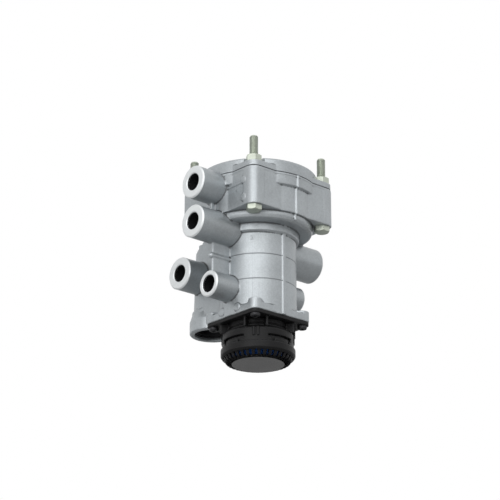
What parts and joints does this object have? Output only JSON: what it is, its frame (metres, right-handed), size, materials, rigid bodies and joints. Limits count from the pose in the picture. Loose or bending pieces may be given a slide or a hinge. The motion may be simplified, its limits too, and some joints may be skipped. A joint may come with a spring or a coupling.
{
  "type": "trailer control valve",
  "caption": "Air-brake trailer control valve: square control chamber with bolted cover on a ported neck, a side cylinder and a round exhaust silencer.",
  "frame": {"origin": "middle of the four-stud pattern, in the plane of the cover's raised mounting face", "axes": "+Z out of the mounting face along the studs, +X out of the delivery port, -X out of the control ports, +Y towards the side cylinder"},
  "size_m": [0.1474, 0.1351, 0.2],
  "materials": {
    "cast_aluminium": "satin, fine cast skin",
    "turned_aluminium": "fine turned",
    "zinc_steel": "zinc plated",
    "spring_steel": "oiled",
    "dark_steel": "phosphated",
    "black_plastic": "moulded, matt",
    "blue_filter": "knitted mesh",
    "rubber": "matt",
    "gasket_fibre": "matt"
  },
  "bodies": {
    "valve_body": {"body_casting": "cast_aluminium", "cover": "cast_aluminium", "cover_gasket": "gasket_fibre", "cover_bolts": "zinc_steel", "cover_nuts": "zinc_steel", "silencer_body": "black_plastic", "silencer_cap": "black_plastic", "silencer_filter": "blue_filter", "silencer_screws": "dark_steel", "silencer_seal": "rubber", "exhaust_flap": "rubber", "control_spring": "spring_steel", "stem_plate": "turned_aluminium", "stem_plate_clip": "dark_steel", "stem_seal": "rubber", "relay_spring": "spring_steel", "valve_seat": "turned_aluminium", "valve_seat_clip": "dark_steel", "inlet_spring": "spring_steel", "lower_guide": "turned_aluminium", "guide_seals": "rubber", "valve_seal": "rubber", "guide_clip": "dark_steel", "side_spring": "spring_steel", "side_plug": "dark_steel", "side_plug_seal": "rubber", "side_clip": "dark_steel"},
    "control_piston": {"control_piston": "turned_aluminium", "control_piston_seal": "rubber"},
    "relay_piston": {"relay_piston": "turned_aluminium", "relay_piston_seal": "rubber"},
    "inlet_valve": {"inlet_valve": "turned_aluminium", "valve_rubber": "rubber"},
    "side_spool": {"side_spool": "turned_aluminium", "spool_seals": "rubber"}
  },
  "joints": [
    {"name": "control_piston_slide", "type": "slide", "parent": "valve_body", "child": "control_piston", "axis": [0, 0, -1], "range_m": [0, 0.004], "stiffness_N_per_m": 2000, "springref_m": -0.006, "deforming": ["control_spring"]},
    {"name": "relay_piston_slide", "type": "slide", "parent": "valve_body", "child": "relay_piston", "axis": [0, 0, -1], "range_m": [0, 0.004], "stiffness_N_per_m": 1500, "springref_m": -0.006, "deforming": ["relay_spring"]},
    {"name": "inlet_valve_slide", "type": "slide", "parent": "valve_body", "child": "inlet_valve", "axis": [0, 0, -1], "range_m": [0, 0.00255], "stiffness_N_per_m": 1500, "springref_m": -0.006, "deforming": ["inlet_spring"]},
    {"name": "side_spool_slide", "type": "slide", "parent": "valve_body", "child": "side_spool", "axis": [0, 0, 1], "range_m": [0, 0.005], "stiffness_N_per_m": 1200, "springref_m": -0.006, "deforming": ["side_spring"]}
  ],
  "couplings": [
    {"joint": "inlet_valve_slide", "follows": "relay_piston_slide", "ratio": 0.6375}
  ]
}
